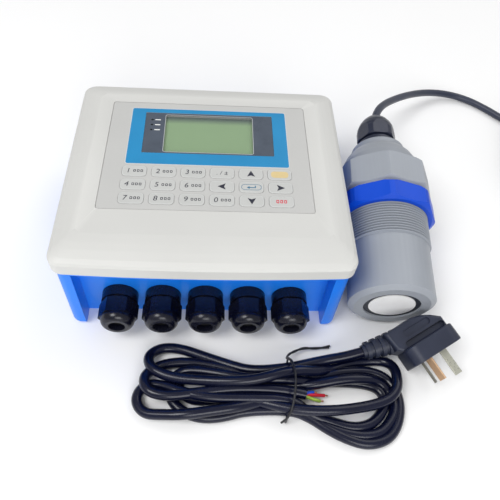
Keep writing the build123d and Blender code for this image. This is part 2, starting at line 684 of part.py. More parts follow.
def cord_tube(points, radius):
    """A round tube along straight runs and tangent arcs."""
    with BuildPart() as tube:
        with BuildLine() as route:
            FilletPolyline(*points, radius=bend_radii(points))
        with BuildSketch(Plane(origin=route.line @ 0, z_dir=route.line % 0)):
            Circle(radius)
        sweep()
    return tube.part


def report_cord(name, points, diameter):
    """Prints the corner radii of one cord."""
    print(name, "radii in diameters:", [round(r / diameter, 1) for r in bend_radii(points)])


def on_probe(distance):
    """The point on the probe's axis at one distance from its face."""
    return probe_face + probe_direction * distance


coil_centre = (388.0, 95.0)
coil_outer_radius, coil_inner_radius, coil_height = 68.0, 32.0, 31.0
probe_cable_route = [on_probe(160), on_probe(199), Vector(167.5, 126, 53.5), Vector(180, 144, 47),
                     Vector(198, 164, 38), Vector(221, 186, 27), Vector(248, 205, 16),
                     Vector(276.5, 214.5, 7.5), Vector(301, 209.5, 4.2), Vector(320, 193.5, 4),
                     Vector(333, 178.5, 4.1), Vector(350, 165.5, 4.3), Vector(372, 154.8, 4.3)]

with BuildPart() as probe_cable_coil:
    with BuildSketch(Plane.XZ):
        with Locations(((coil_outer_radius + coil_inner_radius) / 2, 0.2 + coil_height / 2)):
            RectangleRounded(coil_outer_radius - coil_inner_radius, coil_height, 6)
    revolve(axis=Axis.Z)
probe_cable_coil.part.position = (coil_centre[0], coil_centre[1], 0)
save(probe_cable_coil.part, "probe_cable_coil")

with BuildPart() as probe_cable:
    add(cord_tube(probe_cable_route, cable_radius))
    add(probe_cable_coil.part, mode=Mode.SUBTRACT)
save(probe_cable.part, "probe_cable")
report_cord("probe_cable", probe_cable_route, signal_cable_diameter)

# the mains cord's hank: a waist tied between two fans of loops
waist_x, waist_half, hank_bottom, waist_top = 65.0, 18.0, 0.7, 24.0
sheath_end = Vector(77, -154, 10)
with BuildPart() as power_cord_hank:
    with BuildSketch(Plane.XY.offset(hank_bottom)):
        with BuildLine():
            Spline((waist_x, -129), (35, -119), (6, -112.5), (-26, -112), (-46, -123), (-45, -147),
                   (-38, -167), (-14, -174), (20, -174), (waist_x, -166),
                   tangents=((-1, 0.2), (1, 0.15)))
            Spline((waist_x, -166), (92, -184), (120, -194), (145, -188), (155, -170), (157, -148),
                   (146, -137), (112, -134.5), (waist_x, -129), tangents=((1, -0.4), (-1, 0.25)))
        make_face()
    extrude(amount=16)
    fillet(power_cord_hank.edges().group_by(Axis.Z)[-1], 4)
    with BuildSketch(Plane.YZ.offset(waist_x - 13)):
        with Locations((-147.4, hank_bottom + (waist_top - hank_bottom) / 2)):
            RectangleRounded(2 * waist_half - 1, waist_top - hank_bottom, 8)
    extrude(amount=21)
    with BuildSketch(Plane.XY):
        with Locations((104, -152)):
            SlotOverall(64, 17, rotation=-4)
    extrude(amount=40, mode=Mode.SUBTRACT)
    with BuildSketch(Plane(origin=sheath_end, z_dir=(-1, -0.05, 0))):
        Circle(mains_cord_diameter / 2)
    extrude(amount=12)

with BuildPart() as wrap_ring:
    with BuildSketch(Plane.YZ.offset(waist_x - 1.6)):
        with Locations((-147.4, hank_bottom + (waist_top - hank_bottom) / 2)):
            RectangleRounded(2 * waist_half, waist_top - hank_bottom + 1.0, 8.5)
            RectangleRounded(2 * waist_half - 2.2, waist_top - hank_bottom - 1.0, 7.4,
                             mode=Mode.SUBTRACT)
    extrude(amount=3.2)
power_cord_hank_trimmed = power_cord_hank.part - wrap_ring.part
save(power_cord_hank_trimmed, "power_cord_hank")

tie_tail = [Vector(waist_x, -137, 24.0), Vector(66, -127, 23), Vector(70, -118, 15),
            Vector(82, -112.5, 6), Vector(101, -110.5, 1.8)]
with BuildPart() as twist_tie:
    add(wrap_ring.part)
    add(cord_tube(tie_tail, 0.9))
save(twist_tie.part, "twist_tie")

with BuildPart() as core_wires:
    for side, height, reach, drift in ((0.9, 1.2, 8, 2.4), (-0.9, 1.2, 15, 0.4), (0, -1.4, 10, -1.2)):
        start = sheath_end + Vector(0.1, 1.5 * side, 1.2 * height)
        middle = start + Vector(0.45 * reach, 0.0225 * reach, 0)
        add(cord_tube([start, middle, start + Vector(reach, drift, 1.2 * height)], 1.15))
save(core_wires.part, "core_wires")

# ---------------------------------------------------------------- mains plug
plug_plane = Plane(origin=plug_centre, x_dir=plug_long_direction, z_dir=plug_pin_direction)
# the same place, with X along the plate, Y towards the pins and Z downwards
grip_plane = Plane(origin=plug_centre, x_dir=plug_long_direction,
                   z_dir=plug_long_direction.cross(plug_pin_direction))
grip_axis = Axis(plug_centre, grip_plane.z_dir)
relief_start, relief_end = Vector(152, -112.6, 19.0), Vector(124, -120.6, 15.2)
relief_direction = (relief_end - relief_start).normalized()
relief_length = (relief_end - relief_start).length
blade_width, blade_thickness, blade_length, earth_length = 6.35, 1.6, 18.0, 21.0
blade_q, blade_w, blade_lean, earth_q = -8.4, 8.1, 30.0, 7.9

with BuildPart() as plug_pins:
    with BuildSketch(plug_plane.offset(-3)):
        for place, lean in (((blade_q, -blade_w), blade_lean), ((blade_q, blade_w), -blade_lean)):
            with Locations(Location((place[0], place[1], 0), (0, 0, lean))):
                RectangleRounded(blade_thickness, blade_width, 0.7)
    extrude(amount=blade_length + 3)
    with BuildSketch(plug_plane.offset(-3)):
        with Locations((earth_q, 0)):
            RectangleRounded(blade_width, blade_thickness, 0.7)
    extrude(amount=earth_length + 3)

# the ribbed strain relief, turned about its own axis
relief_section = Plane(origin=relief_start, x_dir=relief_direction.cross(Vector(0, 0, 1)),
                       z_dir=relief_direction.cross(Vector(0, 0, 1)).cross(relief_direction))
relief_ribs, rib_share = 5, 0.55
relief_pitch = relief_length / relief_ribs
relief_outline = [(mains_cord_diameter / 2, relief_length - 9.8), (0, relief_length - 9.8), (0, 0)]
for n in range(relief_ribs):
    rib_radius = 9.8 - 0.65 * n
    relief_outline += [(rib_radius, n * relief_pitch), (rib_radius - 0.2, (n + rib_share) * relief_pitch),
                       (rib_radius - 1.7, (n + rib_share) * relief_pitch),
                       (rib_radius - 1.9, (n + 1) * relief_pitch)]
relief_outline += [(mains_cord_diameter / 2, relief_length)]
with BuildPart() as strain_relief:
    with BuildSketch(relief_section):
        with BuildLine():
            Polyline(*relief_outline, close=True)
        make_face()
    revolve(axis=Axis(relief_start, relief_direction))

grip_top, grip_bottom, groove_middle, groove_width = -9.0, 12.0, -17.2, 4.6
with BuildPart() as plug_body:
    with BuildSketch(plug_plane.offset(-plate_thickness)):
        RectangleRounded(plate_length, plate_height, 9)
    extrude(amount=plate_thickness)
    fillet(plug_body.faces().sort_by(Axis(plug_centre, plug_pin_direction))[-1].edges(), 1.2)
    fillet(plug_body.faces().sort_by(Axis(plug_centre, plug_pin_direction))[0].edges(), 1.6)
    # the grip behind the plate, deepest at the cord's side
    with BuildPart(mode=Mode.PRIVATE) as grip:
        with BuildSketch(grip_plane.offset(grip_top)):
            with BuildLine():
                Polyline((-20.5, -13.0), (-25.5, -17.5), (-27.0, -32.8), (-1.3, -33.4), (6.7, -31.0),
                         (13.7, -27.3), (20.5, -22.0), (20.5, -13.0), close=True)
            make_face()
        extrude(amount=grip_bottom - grip_top)
        fillet(grip.edges().filter_by(GeomType.LINE).group_by(grip_axis)[-1], 2.4)
        fillet(grip.edges().filter_by(GeomType.LINE).group_by(grip_axis)[0], 2.4)
    add(grip.part)
    # a finger groove along the plate and a shallow panel, above and below
    for face, inwards in ((grip_top, 1), (grip_bottom, -1)):
        with BuildSketch(grip_plane.offset(face)):
            with Locations((1.0, groove_middle)):
                SlotOverall(36, groove_width)
        extrude(amount=inwards * 3.2, mode=Mode.SUBTRACT)
        with BuildSketch(grip_plane.offset(face)):
            with Locations((-2.0, -24.6)):
                RectangleRounded(25, 5.6, 2.6)
        extrude(amount=inwards * 1.4, mode=Mode.SUBTRACT)
    # the strain relief is part of the same moulding
    add(strain_relief.part)
    add(plug_pins.part, mode=Mode.SUBTRACT)
save(plug_body.part, "plug_body")


save(plug_pins.part, "plug_pins")

power_cord_route = [relief_end - relief_direction * 9.75, relief_end + relief_direction * 8.2,
                    Vector(97, -124.9, 10.6),
                    Vector(79, -129.9, 9), Vector(62, -138, 9)]
with BuildPart() as power_cord:
    add(cord_tube(power_cord_route, mains_cord_diameter / 2))
    add(power_cord_hank_trimmed, mode=Mode.SUBTRACT)
    add(wrap_ring.part, mode=Mode.SUBTRACT)
save(power_cord.part, "power_cord")
report_cord("power_cord", power_cord_route, mains_cord_diameter)
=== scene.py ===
"""Looks for the split ultrasonic level meter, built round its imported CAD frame. Metres."""
from math import copysign, cos, pi, radians, sin

import bpy
from mathutils import Matrix, Vector


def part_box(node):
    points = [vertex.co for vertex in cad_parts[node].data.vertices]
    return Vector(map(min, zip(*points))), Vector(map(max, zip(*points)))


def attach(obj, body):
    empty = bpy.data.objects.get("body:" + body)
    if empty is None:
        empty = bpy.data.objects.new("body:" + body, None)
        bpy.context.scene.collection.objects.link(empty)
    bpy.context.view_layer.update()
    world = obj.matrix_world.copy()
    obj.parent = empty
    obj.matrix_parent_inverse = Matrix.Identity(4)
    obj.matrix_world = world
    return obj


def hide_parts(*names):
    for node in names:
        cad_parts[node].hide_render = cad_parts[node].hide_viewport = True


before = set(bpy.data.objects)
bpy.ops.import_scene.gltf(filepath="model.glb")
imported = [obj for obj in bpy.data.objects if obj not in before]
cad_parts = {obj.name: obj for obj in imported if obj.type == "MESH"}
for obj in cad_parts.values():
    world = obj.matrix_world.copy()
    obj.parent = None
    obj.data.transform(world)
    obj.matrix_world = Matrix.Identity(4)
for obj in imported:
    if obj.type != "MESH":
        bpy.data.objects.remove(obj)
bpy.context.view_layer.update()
MM = 0.001


# ---------------------------------------------------------------- camera and lamps
def place_camera():
    """The photograph's view: above the glands, looking down the probe, rolled a little."""
    heading, dip, roll = radians(6.66), radians(53.83), radians(6.53)
    forward = Vector((sin(heading) * cos(dip), cos(heading) * cos(dip), -sin(dip)))
    turn = forward.to_track_quat("-Z", "Y").to_matrix() @ Matrix.Rotation(roll, 3, "Z")
    lens = bpy.data.cameras.new("camera")
    lens.lens, lens.sensor_width = 39.47, 36.0
    lens.clip_start, lens.clip_end = 0.01, 20.0
    camera = bpy.data.objects.new("camera", lens)
    camera.matrix_world = Matrix.Translation((0.0047, -0.3064, 0.4048)) @ turn.to_4x4()
    bpy.context.scene.collection.objects.link(camera)
    bpy.context.scene.camera = camera


def area_light(name, place, target, size, power):
    """A soft square light that looks at a point."""
    data = bpy.data.lights.new(name, "AREA")
    data.shape, data.size, data.energy = "SQUARE", size, power
    light = bpy.data.objects.new(name, data)
    light.location = place
    light.rotation_euler = (Vector(target) - Vector(place)).to_track_quat("-Z", "Y").to_euler()
    bpy.context.scene.collection.objects.link(light)


place_camera()


# ---------------------------------------------------------------- materials
def linear(red, green, blue):
    """An sRGB colour of 0 to 255 as a linear colour."""
    return tuple((c / 255 / 12.92 if c / 255 <= 0.04045 else ((c / 255 + 0.055) / 1.055) ** 2.4)
                 for c in (red, green, blue)) + (1.0,)


def blank(name):
    """A new node material and its shader."""
    material = bpy.data.materials.new(name)
    material.use_nodes = True
    return material, material.node_tree.nodes["Principled BSDF"]


def noise(tree, scale, detail=4.0):
    """Noise in the piece's own coordinates."""
    place = tree.nodes.new("ShaderNodeTexCoord")
    texture = tree.nodes.new("ShaderNodeTexNoise")
    texture.inputs["Scale"].default_value = scale
    texture.inputs["Detail"].default_value = detail
    tree.links.new(place.outputs["Object"], texture.inputs["Vector"])
    return texture


def spread(tree, source, low, high, centre=0.5, width=0.3):
    """Maps a noise's middle range to a range of values."""
    ranger = tree.nodes.new("ShaderNodeMapRange")
    ranger.inputs["From Min"].default_value = centre - width / 2
    ranger.inputs["From Max"].default_value = centre + width / 2
    ranger.inputs["To Min"].default_value = low
    ranger.inputs["To Max"].default_value = high
    tree.links.new(source, ranger.inputs["Value"])
    return ranger.outputs["Result"]


def shaded(tree, colour, factor, share):
    """A colour that darkens and lightens a little with a factor of 0 to 1."""
    mix = tree.nodes.new("ShaderNodeMix")
    mix.data_type = "RGBA"
    mix.inputs["A"].default_value = tuple(c * (1 - share) for c in colour[:3]) + (1.0,)
    mix.inputs["B"].default_value = tuple(min(1.0, c * (1 + share)) for c in colour[:3]) + (1.0,)
    tree.links.new(factor, mix.inputs["Factor"])
    return mix.outputs["Result"]


def moulded(name, colour, rough=0.45, grain=2200.0, depth=0.06, mottle=0.05, cloud=35.0,
            edge_highlight=0.0, metal=0.0, gloss=0.5, tint_by=None):
    """Plastic, rubber or metal: a fine grain, slow colour drift and, if asked, lighter convex edges, a
    painted highlight.
    """
    material, shader = blank(name)
    tree = material.node_tree
    fine = noise(tree, grain)
    slow = noise(tree, cloud, 3.0)
    drift = spread(tree, slow.outputs["Fac"], 0.0, 1.0)
    tint = shaded(tree, colour, drift, mottle)
    for mask, other in (tint_by(tree) if tint_by else ()):
        swap = tree.nodes.new("ShaderNodeMix")
        swap.data_type = "RGBA"
        tree.links.new(mask, swap.inputs["Factor"])
        tree.links.new(tint, swap.inputs["A"])
        tree.links.new(shaded(tree, other, drift, mottle), swap.inputs["B"])
        tint = swap.outputs["Result"]
    # painted highlight: convex edges are lightened, as where light catches a bevel
    if edge_highlight:
        geometry = tree.nodes.new("ShaderNodeNewGeometry")
        edge = spread(tree, geometry.outputs["Pointiness"], 0.0, edge_highlight, 0.56, 0.08)
        highlight_mix = tree.nodes.new("ShaderNodeMix")
        highlight_mix.data_type = "RGBA"
        highlight_mix.inputs["B"].default_value = tuple(min(1.0, c * 1.5 + 0.05) for c in colour[:3]) + (1.0,)
        tree.links.new(edge, highlight_mix.inputs["Factor"])
        tree.links.new(tint, highlight_mix.inputs["A"])
        tint = highlight_mix.outputs["Result"]
    tree.links.new(tint, shader.inputs["Base Color"])
    blend = tree.nodes.new("ShaderNodeMath")
    blend.operation = "ADD"
    tree.links.new(spread(tree, fine.outputs["Fac"], -0.05, 0.05), blend.inputs[0])
    tree.links.new(spread(tree, slow.outputs["Fac"], rough - 0.04, rough + 0.06), blend.inputs[1])
    tree.links.new(blend.outputs["Value"], shader.inputs["Roughness"])
    bump = tree.nodes.new("ShaderNodeBump")
    bump.inputs["Strength"].default_value = depth
    bump.inputs["Distance"].default_value = 0.0004
    tree.links.new(fine.outputs["Fac"], bump.inputs["Height"])
    tree.links.new(bump.outputs["Normal"], shader.inputs["Normal"])
    shader.inputs["Metallic"].default_value = metal
    shader.inputs["Specular IOR Level"].default_value = gloss
    return material


def beyond(tree, point, direction, soft=0.2 * MM):
    """0 before a plane through a point and 1 beyond it, along a direction."""
    place = tree.nodes.new("ShaderNodeTexCoord")
    along = tree.nodes.new("ShaderNodeVectorMath")
    along.operation = "DOT_PRODUCT"
    along.inputs[1].default_value = direction
    tree.links.new(place.outputs["Object"], along.inputs[0])
    ranger = tree.nodes.new("ShaderNodeMapRange")
    ranger.inputs["From Min"].default_value = Vector(point).dot(direction) - soft
    ranger.inputs["From Max"].default_value = Vector(point).dot(direction) + soft
    tree.links.new(along.outputs["Value"], ranger.inputs["Value"])
    return ranger.outputs["Result"]


def clear_lens(name):
    """The display's clear window: barely tinted and glossy."""
    material, shader = blank(name)
    tree = material.node_tree
    haze = noise(tree, 90.0)
    shader.inputs["Base Color"].default_value = linear(120, 128, 126)
    tree.links.new(spread(tree, haze.outputs["Fac"], 0.05, 0.12), shader.inputs["Roughness"])
    shader.inputs["Alpha"].default_value = 0.10
    return material


def display_glass(name):
    """The LCD's face: pale green with faint pixel rows, shadowed along its far edge."""
    material, shader = blank(name)
    tree = material.node_tree
    low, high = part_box("lcd_module")
    place = tree.nodes.new("ShaderNodeTexCoord")
    axes = tree.nodes.new("ShaderNodeSeparateXYZ")
    tree.links.new(place.outputs["Object"], axes.inputs["Vector"])
    shade = tree.nodes.new("ShaderNodeMapRange")
    shade.inputs["From Min"].default_value = high.y - 7.5 * MM
    shade.inputs["From Max"].default_value = high.y - 1.5 * MM
    tree.links.new(axes.outputs["Y"], shade.inputs["Value"])
    mix = tree.nodes.new("ShaderNodeMix")
    mix.data_type = "RGBA"
    mix.inputs["A"].default_value = linear(152, 182, 138)
    mix.inputs["B"].default_value = linear(104, 120, 112)
    tree.links.new(shade.outputs["Result"], mix.inputs["Factor"])
    rows = tree.nodes.new("ShaderNodeTexWave")
    rows.bands_direction = "Y"
    rows.inputs["Scale"].default_value = 560.0
    tree.links.new(place.outputs["Object"], rows.inputs["Vector"])
    dots = tree.nodes.new("ShaderNodeMix")
    dots.data_type = "RGBA"
    dots.blend_type = "MULTIPLY"
    dots.inputs["Factor"].default_value = 0.05
    tree.links.new(mix.outputs["Result"], dots.inputs["A"])
    tree.links.new(rows.outputs["Color"], dots.inputs["B"])
    tree.links.new(dots.outputs["Result"], shader.inputs["Base Color"])
    shader.inputs["Roughness"].default_value = 0.32
    return material


BLACK_CORD = moulded("black_cord_sheath", linear(7, 12, 37), 0.22, 1500.0, 0.05, 0.16, 30.0, gloss=0.40)
SLATE_CABLE = moulded("slate_cable_sheath", linear(42, 48, 66), 0.38, 1800.0, 0.08, 0.10, 40.0)
TIE_PLASTIC = moulded("tie_plastic", linear(22, 22, 28), 0.40, 2500.0, 0.20, 0.20, 120.0)
CORE_BLUE = moulded("core_blue", linear(20, 70, 190), 0.38, 2500.0, 0.05, 0.10)
CORE_RED = moulded("core_red", linear(205, 25, 50), 0.38, 2500.0, 0.05, 0.10)
CORE_GREEN = moulded("core_yellow_green", linear(165, 195, 80), 0.38, 2500.0, 0.05, 0.25, 400.0)
COPPER = moulded("copper_strands", linear(205, 150, 115), 0.30, 4000.0, 0.5, 0.20, metal=1.0)


# ---------------------------------------------------------------- cords
def smooth_line(name, points, radius, material, resolution=6):
    """A capped tube on one open NURBS spline whose control points are the given points."""
    data = bpy.data.curves.new(name, "CURVE")
    data.dimensions = "3D"
    data.bevel_depth, data.bevel_resolution = radius, resolution
    data.use_fill_caps = True
    data.resolution_u = 6
    spline = data.splines.new("NURBS")
    spline.points.add(len(points) - 1)
    for place, point in zip(spline.points, points):
        place.co = (*point, 1.0)
    spline.order_u = 3
    spline.use_endpoint_u = True
    data.materials.append(material)
    tube = bpy.data.objects.new(name, data)
    bpy.context.scene.collection.objects.link(tube)
    return tube


def in_metres(*points):
    """Points given in millimetres, in metres."""
    return [Vector(point) * MM for point in points]


def waist(side, height):
    """A strand's place where the mains cord's hank is tied."""
    return (66.0, side, height)


SIGNAL_CABLE_DIAMETER, MAINS_CORD_DIAMETER = 7.5 * MM, 8.0 * MM
PROBE_FACE = Vector((147.7, -90.4, 34.6)) * MM
PROBE_TURN, PROBE_TILT = radians(3.4), radians(6.2)
PROBE_DIRECTION = Vector((sin(PROBE_TURN) * cos(PROBE_TILT), cos(PROBE_TURN) * cos(PROBE_TILT),
                          sin(PROBE_TILT)))


def on_probe(distance):
    """The point on the probe's axis at one distance in millimetres from its face."""
    return PROBE_FACE + PROBE_DIRECTION * distance * MM


def coil_turns(centre, pitch, widest, tightest, bottom, layers, start):
    """The points of a coil wound in layers, each a spiral in or out, one pitch above the last."""
    steps = 16                    # points in each turn
    rise_turns = 0.16             # the share of a turn in which the cable climbs to the next layer
    spiral_turns = (widest - tightest) / pitch
    points, angle = [], start
    for layer in range(layers):
        first, last = (widest, tightest) if layer % 2 == 0 else (tightest, widest)
        count = round(spiral_turns * steps)
        for n in range(count + 1):
            radius = first + (last - first) * n / count
            height = bottom + layer * pitch
            points.append(centre + Vector((radius * cos(angle), radius * sin(angle), height)))
            angle -= 2 * pi / steps
        angle += 2 * pi * (1 / steps - rise_turns)
    return points


COIL_LOW, COIL_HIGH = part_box("probe_cable_coil")
COIL_CENTRE = Vector(((COIL_LOW.x + COIL_HIGH.x) / 2, (COIL_LOW.y + COIL_HIGH.y) / 2, 0))
COIL_OUTER = (COIL_HIGH.x - COIL_LOW.x) / 2 - SIGNAL_CABLE_DIAMETER / 2 - 0.3 * MM
COIL_INNER = 32 * MM              # the inner radius of the coil's CAD solid
COIL_TURNS = coil_turns(COIL_CENTRE, pitch=7.6 * MM, widest=COIL_OUTER, tightest=COIL_INNER + 4.2 * MM,
                        bottom=4.1 * MM, layers=4, start=pi / 2)

signal_cable = smooth_line(
    "signal_cable",
    [on_probe(176), on_probe(199)]
    + in_metres((167.5, 126, 53.5), (180, 144, 47), (198, 164, 38), (221, 186, 27), (248, 205, 16),
                (276.5, 214.5, 7.5), (301, 209.5, 4.2), (320, 193.5, 4), (333, 178.5, 4.1),
                (350, 168, 4.1), (368, 161.5, 4.1))
    + COIL_TURNS,
    SIGNAL_CABLE_DIAMETER / 2, SLATE_CABLE)
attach(signal_cable, "housing")
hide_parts("probe_cable", "probe_cable_coil")


def cores(name, start, direction, colours, radius, reach):
    """Stripped cores that fan out of a sheath's end, each with a bare copper tip."""
    made, bare_length = [], 2.6 * MM
    side = direction.cross(Vector((0, 0, 1))).normalized()
    for n, (material, drift, lift) in enumerate(colours):
        root = start + side * drift * 0.28 + Vector((0, 0, lift * 0.5))
        tip = start + direction * reach[n] + side * drift * 1.6 + Vector((0, 0, lift))
        middle = root.lerp(tip, 0.5) + side * drift * 0.35
        made.append(smooth_line(f"{name}_{n + 1}", [root - direction * 2 * MM, root, middle, tip],
                                radius, material))
        strands = [tip - direction * MM, tip, tip + direction * bare_length]
        made.append(smooth_line(f"{name}_tip_{n + 1}", strands, radius * 0.45, COPPER))
    for piece in made:
        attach(piece, "housing")
    return made


cable_end = COIL_TURNS[-1]
cable_heading = (COIL_TURNS[-1] - COIL_TURNS[-2]).normalized()
signal_cores = cores("signal_core", cable_end, cable_heading,
                     [(CORE_RED, 2.2 * MM, 0.4 * MM), (TIE_PLASTIC, -2.2 * MM, 0.2 * MM)],
                     0.9 * MM, [9 * MM, 7 * MM])


def boxy(value):
    """A sine or cosine pushed towards 1 or -1, which turns a circle into a rounded square."""
    return copysign(abs(value) ** 0.45, value)


def strap_round_coil(name, angle):
    """A plastic tie round the coil's bundle, square to the turns."""
    outward = Vector((cos(angle), sin(angle), 0))
    outer, inner = (COIL_HIGH.x - COIL_LOW.x) / 2, COIL_INNER
    middle = COIL_CENTRE + outward * (outer + inner) / 2 + Vector((0, 0, (COIL_LOW.z + COIL_HIGH.z) / 2))
    half_wide, half_high = (outer - inner) / 2 + 0.2 * MM, (COIL_HIGH.z - COIL_LOW.z) / 2 - 0.4 * MM
    points, steps = [], 24
    for n in range(steps):
        turn = 2 * pi * n / steps
        points.append(middle + outward * half_wide * boxy(cos(turn))
                      + Vector((0, 0, half_high * boxy(sin(turn)))))
    strap = smooth_line(name, points + points[:2], 0.8 * MM, TIE_PLASTIC, resolution=3)
    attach(strap, "housing")
    return strap


coil_straps = [strap_round_coil("coil_strap_1", radians(200)), strap_round_coil("coil_strap_2", radians(20))]

# the mains cord: from the plug through the waist, then loop after loop to its stripped end
FLAT = 4.3                        # the height of a strand that lies on the table, in millimetres
MAINS_ROUTE = in_metres(
    (132.5, -118.2, 16.4), (115.5, -123, 14), (97, -125, 10.6), (80, -129, 11),
    waist(-133, 12.5),
    # out along the back on the left, round, and back over the top
    (37, -134, 8), (18.5, -127, 4.6), (-1, -120, FLAT), (-19, -113.5, FLAT), (-34, -113, 4.6),
    (-44, -122, 8.5), (-40, -134.5, 12.6), (-24, -141.5, 12.6), (-2.5, -144, 14), (19.5, -146.5, 18),
    (40.5, -146, 20.5),
    waist(-138, 20.5),
    # under the plug's lead on the right, and back over the other strands
    (87.5, -136, 13), (100, -131.5, 5.5), (114, -125.5, FLAT), (139, -122, FLAT), (149.5, -128, 8),
    (149.5, -141.5, 12.6), (146.5, -152, 13), (137, -160, 13), (118, -164.5, 13), (92.5, -168, 15),
    waist(-166, 13.5),
    # the smallest loop on the left
    (43.5, -159, 10), (26, -154, 6), (6.5, -155.5, FLAT), (-9, -156, FLAT), (-20.5, -146.5, FLAT),
    (-15, -134.5, FLAT), (2, -133, FLAT), (28, -138.5, FLAT),
    waist(-145, 4.5),
    # a middle loop on the right
    (87, -145.5, 11), (104, -142.5, 12.3), (121.5, -141, 12), (136, -141.5, 7), (145, -151, FLAT),
    (146, -164, FLAT), (138.5, -175, FLAT), (130, -181.5, FLAT), (116, -183, FLAT),
    (99, -179, FLAT), (81.5, -170, FLAT),
    waist(-154, 4.5),
    # the front loop on the left
    (44, -158, 8), (24.5, -164, 12.4), (4, -167, 12.4), (-14, -169.5, 12.4), (-30, -168, 8),
    (-44, -166, 4.6), (-51, -155, FLAT), (-45, -143.5, FLAT), (-31, -145, 8),
    (-15, -153, 12.4), (6.5, -157, 12.4), (29, -157, 12.4),
    waist(-157.5, 12.4),
    # the smallest loop on the right
    (79.5, -167.5, 7), (95, -172, FLAT), (110.5, -177, FLAT), (124.5, -175, FLAT), (134, -167, FLAT),
    (139.5, -156, FLAT), (136, -146.5, FLAT), (123.5, -142, FLAT), (102, -141, FLAT),
    (83.5, -142, 5.5),
    waist(-142, 12.5),
    # a middle loop on the left
    (35, -142, 12.4), (16, -138.5, 12.4), (-3, -134, 9), (-17, -132.5, 5), (-26, -142.5, FLAT),
    (-24.5, -155.5, FLAT), (-15, -165, FLAT), (-1, -169.5, FLAT), (14.5, -168.5, FLAT),
    (32, -163.5, FLAT),
    waist(-163, 4.5),
    # the widest loop on the right
    (80, -169, 4.4), (92, -177.5, FLAT), (106, -185, FLAT), (121, -189.5, FLAT),
    (136.5, -185.5, FLAT), (145.5, -175, FLAT), (150, -161.5, FLAT), (149.5, -148, FLAT),
    (142.5, -137, 4.5), (129, -132.5, 6), (110, -134, 8), (88.5, -138, 6),
    waist(-136.5, 4.5),
    # a last loop on the left, and the stripped end just past the waist
    (36, -135.5, FLAT), (16.5, -130, FLAT), (-3, -126, FLAT), (-19, -125, FLAT),
    (-34, -128, 5), (-45.5, -138.5, 10), (-42.5, -151.5, 12.4), (-27, -156, 12.4),
    (-4, -153, 12.4), (20, -149.5, 12.4), (46, -149.5, 12.4),
    waist(-151.2, 12), (77, -153.4, 10.4))
mains_cord = smooth_line("mains_cord", MAINS_ROUTE, MAINS_CORD_DIAMETER / 2, BLACK_CORD)
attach(mains_cord, "housing")
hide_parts("power_cord", "power_cord_hank")
sheath_end = MAINS_ROUTE[-1]
mains_cores = cores("mains_core", sheath_end, Vector((0.97, 0.05, -0.25)).normalized(),
                    [(CORE_BLUE, -1.5 * MM, -1.0 * MM), (CORE_RED, -0.4 * MM, -2.0 * MM),
                     (CORE_GREEN, 2.2 * MM, -3.0 * MM)],
                    1.3 * MM, [7 * MM, 16 * MM, 12 * MM])
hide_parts("core_wires")
TIE_TAIL = in_metres((66.5, -130.5, 22), (64.5, -127.5, 17), (64.0, -124.5, 13), (66, -121, 10),
                     (71, -116.5, 7.5), (79, -113, 5), (90, -111.5, 3), (101, -110.5, 2))
twist_tie = smooth_line("twist_tie", in_metres(
    (58, -173, 5), (60.5, -172.6, 9), (62.5, -171.5, 14.5), (65.5, -165, 21), (67.5, -154, 24.8),
    (68.2, -142, 25.2)) + TIE_TAIL, 0.9 * MM, TIE_PLASTIC, resolution=3)
# the tie's other end is twisted about the first
aside = Vector((0.7, 1.3, 0.5)) * MM
second_tail = [point + (aside if n % 2 else -aside) for n, point in enumerate(TIE_TAIL)]
twisted_end = smooth_line("twist_tie_twisted", second_tail, 0.8 * MM, TIE_PLASTIC, resolution=3)
under_tie = smooth_line("twist_tie_under", in_metres(
    (64.5, -127.5, 17), (64.5, -127, 8), (65, -130, 1.3), (65, -140, 0.95), (65, -160, 0.95),
    (62, -171.5, 1.2), (60.5, -173, 6), (62, -171.5, 13)), 0.85 * MM, TIE_PLASTIC, resolution=3)
tie_pieces = [twist_tie, twisted_end, under_tie]
for piece in tie_pieces:
    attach(piece, "housing")
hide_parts("twist_tie")

# ---------------------------------------------------------------- the CAD pieces' materials
# several finishes below lighten their convex edges a little: painted highlights
BLUE_SHELL = moulded("blue_shell", linear(4, 122, 240), 0.36, 2600.0, 0.05, 0.04, 14.0, edge_highlight=0.25)
GREY_SHELL = moulded("grey_shell", linear(202, 202, 199), 0.48, 2400.0, 0.10, 0.015, 12.0, edge_highlight=0.15)
PANEL_FILM = moulded("panel_film", linear(189, 189, 187), 0.42, 3200.0, 0.10, 0.015, 20.0)
KEY_FILM = moulded("key_film", linear(190, 191, 189), 0.40, 3200.0, 0.10, 0.015, 30.0)
GLAND_NYLON = moulded("gland_nylon", linear(9, 11, 27), 0.24, 1600.0, 0.06, 0.20, 60.0, edge_highlight=0.10, gloss=0.42)
SEAL_RUBBER = moulded("seal_rubber", linear(20, 20, 24), 0.62, 1800.0, 0.15, 0.20)
PROBE_GREY = moulded("probe_grey", linear(148, 153, 161), 0.42, 2200.0, 0.07, 0.03, 25.0, edge_highlight=0.20)
NUT_BLUE = moulded("nut_blue", linear(0, 70, 196), 0.36, 2200.0, 0.06, 0.05, 25.0, edge_highlight=0.10, gloss=0.25)
WHITE_FACE = moulded("white_face", linear(250, 250, 250), 0.35, 1500.0, 0.08, 0.02, 80.0)
DARK_RING = moulded("dark_ring", linear(40, 44, 54), 0.45, 1800.0, 0.10, 0.15)
SLATE = moulded("slate_plastic", linear(28, 35, 55), 0.34, 2000.0, 0.08, 0.12, 60.0, edge_highlight=0.15)
PLUG_PVC = moulded("plug_pvc", linear(33, 39, 58), 0.42, 1700.0, 0.12, 0.08, 60.0)
STEEL = moulded("zinc_steel", linear(190, 190, 185), 0.30, 2600.0, 0.12, 0.08, metal=1.0)
# the plug's centre, its long direction and the way its pins point, as the CAD has them
PLUG_LONG, PLUG_PINS = Vector((0.862, 0.477, 0.173)), Vector((0.504, -0.842, -0.193))
PLUG_CENTRE = Vector((178.6, -125.8, 21.7)) * MM


